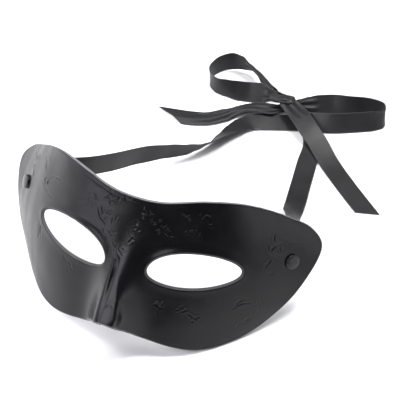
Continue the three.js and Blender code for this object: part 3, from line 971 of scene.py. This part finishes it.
def texture_places(nodes, links, scale=(1, 1, 1)):
    """Places on the flat material, scaled."""
    flat = nodes.new("ShaderNodeUVMap")
    flat.uv_map = "flat"
    mapping = nodes.new("ShaderNodeMapping")
    mapping.inputs["Scale"].default_value = scale
    links.new(flat.outputs["UV"], mapping.inputs["Vector"])
    return mapping.outputs["Vector"]


def noise_node(nodes, links, places, scale, detail=4, roughness=0.55):
    node = nodes.new("ShaderNodeTexNoise")
    node.inputs["Scale"].default_value = scale
    node.inputs["Detail"].default_value = detail
    node.inputs["Roughness"].default_value = roughness
    links.new(places, node.inputs["Vector"])
    return node.outputs["Fac"]


def ramp(nodes, links, value, low, high, bottom=0.3, top=0.7):
    """A colour or a grey value that runs from low to high as value goes from bottom to top."""
    node = nodes.new("ShaderNodeValToRGB")
    for element, place, tone in zip(node.color_ramp.elements, (bottom, top), (low, high)):
        element.position = place
        element.color = (*tone, 1) if hasattr(tone, "__len__") else (tone, tone, tone, 1)
    links.new(value, node.inputs["Fac"])
    return node.outputs["Color"]


def bump(nodes, links, height, distance, strength, before=None):
    """Bumps up to a distance in millimetres high, on top of the bumps before them."""
    node = nodes.new("ShaderNodeBump")
    node.inputs["Distance"].default_value = distance * MM
    node.inputs["Strength"].default_value = strength
    links.new(height, node.inputs["Height"])
    if before is not None:
        links.new(before, node.inputs["Normal"])
    return node.outputs["Normal"]


def leather_face():
    material, nodes, links, shader = new_material("leather_face")
    places = texture_places(nodes, links)
    mottle = noise_node(nodes, links, places, scale=0.7, detail=3)
    grain = nodes.new("ShaderNodeTexVoronoi")
    grain.feature = "DISTANCE_TO_EDGE"
    grain.inputs["Scale"].default_value = 11
    links.new(places, grain.inputs["Vector"])
    fine = noise_node(nodes, links, places, scale=34, detail=3, roughness=0.6)
    black = ramp(nodes, links, mottle, (0.0028, 0.0028, 0.0033), (0.0045, 0.0045, 0.0053))
    links.new(black, shader.inputs["Base Color"])
    links.new(ramp(nodes, links, mottle, low=0.2, high=0.27), shader.inputs["Roughness"])
    valleys = ramp(nodes, links, grain.outputs["Distance"], low=0, high=1, bottom=0, top=0.12)
    cells = bump(nodes, links, valleys, distance=0.02, strength=0.5)
    relief = bump(nodes, links, fine, distance=0.03, strength=0.5, before=cells)
    links.new(relief, shader.inputs["Normal"])
    shader.inputs["Specular IOR Level"].default_value = 0.25
    return material


def leather_back():
    material, nodes, links, shader = new_material("leather_back")
    places = texture_places(nodes, links)
    nap = noise_node(nodes, links, places, scale=26, detail=5, roughness=0.7)
    patches = noise_node(nodes, links, places, scale=1.1, detail=2)
    charcoal = ramp(nodes, links, patches, (0.020, 0.020, 0.021), (0.030, 0.029, 0.029))
    links.new(charcoal, shader.inputs["Base Color"])
    relief = bump(nodes, links, nap, distance=0.12, strength=0.7)
    links.new(relief, shader.inputs["Normal"])
    shader.inputs["Roughness"].default_value = 0.9
    return material


def leather_cut(name, low, high):
    material, nodes, links, shader = new_material(name)
    places = texture_places(nodes, links)
    fibres = noise_node(nodes, links, places, scale=18, roughness=0.65)
    links.new(ramp(nodes, links, fibres, low, high), shader.inputs["Base Color"])
    relief = bump(nodes, links, fibres, distance=0.1, strength=0.6)
    links.new(relief, shader.inputs["Normal"])
    shader.inputs["Roughness"].default_value = 0.7
    return material


def rivet_finish():
    material, nodes, links, shader = new_material("rivet_finish")
    place = nodes.new("ShaderNodeTexCoord").outputs["Object"]
    wear = noise_node(nodes, links, place, scale=900)
    paint = ramp(nodes, links, wear, (0.010, 0.010, 0.011), (0.02, 0.02, 0.021))
    links.new(paint, shader.inputs["Base Color"])
    links.new(ramp(nodes, links, wear, low=0.24, high=0.38), shader.inputs["Roughness"])
    shader.inputs["Specular IOR Level"].default_value = 0.3
    return material


SELVEDGE_BLEND = 0.025  # how softly the selvedges' lighter tone, a painted highlight, starts on the flat material


def satin():
    material, nodes, links, shader = new_material("satin")
    places = texture_places(nodes, links)
    split = nodes.new("ShaderNodeSeparateXYZ")
    links.new(places, split.inputs["Vector"])
    off_middle = nodes.new("ShaderNodeMath")
    off_middle.operation = "ABSOLUTE"
    links.new(split.outputs["X"], off_middle.inputs[0])
    # Both edges are painted a lighter tone than the cloth, over the selvedge's width: a painted
    # highlight for edges that catch the light
    inner = (0.5 * RIBBON_WIDTH - SELVEDGE) / FLAT_UNIT
    outer = inner + SELVEDGE_BLEND
    border = ramp(nodes, links, off_middle.outputs["Value"], low=0, high=1, bottom=inner, top=outer)
    tone = noise_node(nodes, links, places, scale=0.9, detail=3)
    cloth = ramp(nodes, links, tone, (0.0085, 0.0085, 0.0092), (0.014, 0.014, 0.015))
    selvedge_highlight_mix = nodes.new("ShaderNodeMix")
    selvedge_highlight_mix.data_type = "RGBA"
    links.new(border, selvedge_highlight_mix.inputs["Factor"])
    links.new(cloth, selvedge_highlight_mix.inputs["A"])
    # lighter tone of the selvedges, a painted highlight
    selvedge_highlight_mix.inputs["B"].default_value = (0.02, 0.02, 0.0215, 1)
    links.new(selvedge_highlight_mix.outputs["Result"], shader.inputs["Base Color"])
    weft = nodes.new("ShaderNodeTexWave")
    weft.bands_direction = "Y"
    weft.inputs["Scale"].default_value = 9
    weft.inputs["Distortion"].default_value = 0.6
    links.new(places, weft.inputs["Vector"])
    stretched = texture_places(nodes, links, scale=(60, 4, 1))
    warp = noise_node(nodes, links, stretched, scale=1, detail=2)
    weave = bump(nodes, links, weft.outputs["Fac"], distance=0.02, strength=0.5)
    relief = bump(nodes, links, warp, distance=0.03, strength=0.5, before=weave)
    links.new(relief, shader.inputs["Normal"])
    shader.inputs["Roughness"].default_value = 0.46
    shader.inputs["Specular IOR Level"].default_value = 0.3
    shader.inputs["Sheen Weight"].default_value = 0.06
    shader.inputs["Sheen Roughness"].default_value = 0.4
    return material


def floor_finish():
    material, nodes, links, shader = new_material("floor_finish")
    shader.inputs["Base Color"].default_value = (0.86, 0.86, 0.865, 1)
    shader.inputs["Roughness"].default_value = 0.85
    shader.inputs["Specular IOR Level"].default_value = 0.2
    return material


# Stage

# The point the camera looks at is measured as the ribbons' routes are
CAMERA_AIM = (27.2, 34.6, 68.75)
CAMERA_DISTANCE = 1.1397  # in metres
CAMERA_AZIMUTH = math.radians(22.4)
CAMERA_ELEVATION = math.radians(46.4)
CAMERA_LENS = 198.2
SENSOR = 36
FAR = 20  # metres that the camera sees


def make_camera():
    back = Vector((
        math.sin(CAMERA_AZIMUTH) * math.cos(CAMERA_ELEVATION),
        -math.cos(CAMERA_AZIMUTH) * math.cos(CAMERA_ELEVATION),
        math.sin(CAMERA_ELEVATION),
    ))
    data = bpy.data.cameras.new("camera")
    data.lens = CAMERA_LENS
    data.sensor_width = SENSOR
    data.clip_end = FAR
    camera = bpy.data.objects.new("camera", data)
    camera.location = Vector(in_metres(CAMERA_AIM)) + CAMERA_DISTANCE * back
    camera.rotation_euler = back.to_track_quat("Z", "Y").to_euler()
    bpy.context.collection.objects.link(camera)
    bpy.context.scene.camera = camera


FLOOR_REACH = 4
PANEL_TINT = (0.955, 0.94, 1.02)


def make_floor():
    mesh = bpy.data.meshes.new("floor")
    signs = ((-1, -1), (1, -1), (1, 1), (-1, 1))
    corners = [(x * FLOOR_REACH, y * FLOOR_REACH, 0) for x, y in signs]
    mesh.from_pydata(corners, [], [(0, 1, 2, 3)])
    mesh.materials.append(floor_finish())
    floor = bpy.data.objects.new("floor", mesh)
    bpy.context.collection.objects.link(floor)


def area_light(name, place, aim, size, power, spread=180, tint=(1, 1, 1)):
    """A rectangular light of so many watts, which spreads over so many degrees."""
    data = bpy.data.lights.new(name, "AREA")
    data.shape = "RECTANGLE"
    data.color = tint
    data.size, data.size_y = size
    data.energy = power
    data.spread = math.radians(spread)
    light = bpy.data.objects.new(name, data)
    light.visible_camera = False
    light.location = place
    light.rotation_euler = (Vector(place) - Vector(aim)).to_track_quat("Z", "Y").to_euler()
    bpy.context.collection.objects.link(light)


def make_lights():
    world = bpy.data.worlds.new("studio")
    world.use_nodes = True
    background = world.node_tree.nodes["Background"]
    background.inputs["Color"].default_value = (0.95, 0.97, 1, 1)
    background.inputs["Strength"].default_value = 0.1
    bpy.context.scene.world = world
    area_light("key", (0.31, 0.37, 1.2), (0, 0, 0), (0.42, 0.42), power=3, spread=70)
    area_light("overhead", (-0.12, 0, 0.7), (-0.05, -0.02, 0), (0.6, 0.5), power=1)
    area_light("left_floor", (-0.5, -0.05, 0.42), (-0.24, -0.03, 0), (0.2, 0.3), power=0.85, spread=70)
    # Panels that show in the leather: name, place, the point they face, size and power
    panels = [
        ("left_panel", (-1.45, -0.2, 0.2), (0, 0, 0.05), (1.3, 0.9), 9.5),
        ("front_left_panel", (-0.78, -0.92, 0.16), (0, 0, 0.05), (0.6, 0.4), 2.5),
        ("right_panel", (1.5, -0.1, 0.16), (0, 0, 0.1), (1.1, 0.34), 3),
        ("front_top_panel", (-0.4, -0.75, 0.98), (0, 0, 0.05), (1, 0.56), 9.5),
    ]
    for panel in panels:
        area_light(*panel, tint=PANEL_TINT)


# Place of the mask: how far its lowest point has to rise, and where its solid's box is

edge = outline_loop().T
tilted_edge = tilted(np.vstack([sheet_point(*edge), at_depth(*edge, SHEET)]))
LOWEST = tilted_edge[:, 2].min()
SHIFT = np.array([
    0.5 * (MASK_BOX[0].x + MASK_BOX[1].x),
    MASK_BOX[0].y - tilted_edge[:, 1].min(),
    0,
])

# Making the object

make_camera()
make_floor()
make_lights()

mask = mask_shell([
    leather_face(),
    leather_back(),
    leather_cut("leather_edge", (0.09, 0.09, 0.096), (0.17, 0.17, 0.18)),
    # Darker copy of the cut leather for the eye and rivet holes' walls: painted shade, where those
    # walls lie in shadow
    leather_cut("leather_eye_rim_painted_shade", (0.022, 0.022, 0.024), (0.045, 0.045, 0.048)),
])
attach(mask, "root")
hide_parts("mask_shell")

finish = rivet_finish()
for side, node in ((1, "rivet_right"), (-1, "rivet_left")):
    piece = rivet(side, finish)
    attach(piece, "root")
    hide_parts(node)

cloth = satin()
for make, node in ((ribbon_left, "ribbon_left"), (ribbon_right, "ribbon_right")):
    piece, length = make(cloth)
    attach(piece, "root")
    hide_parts(node)

view = bpy.context.scene.view_settings
view.view_transform = "Standard"
view.look = "None"
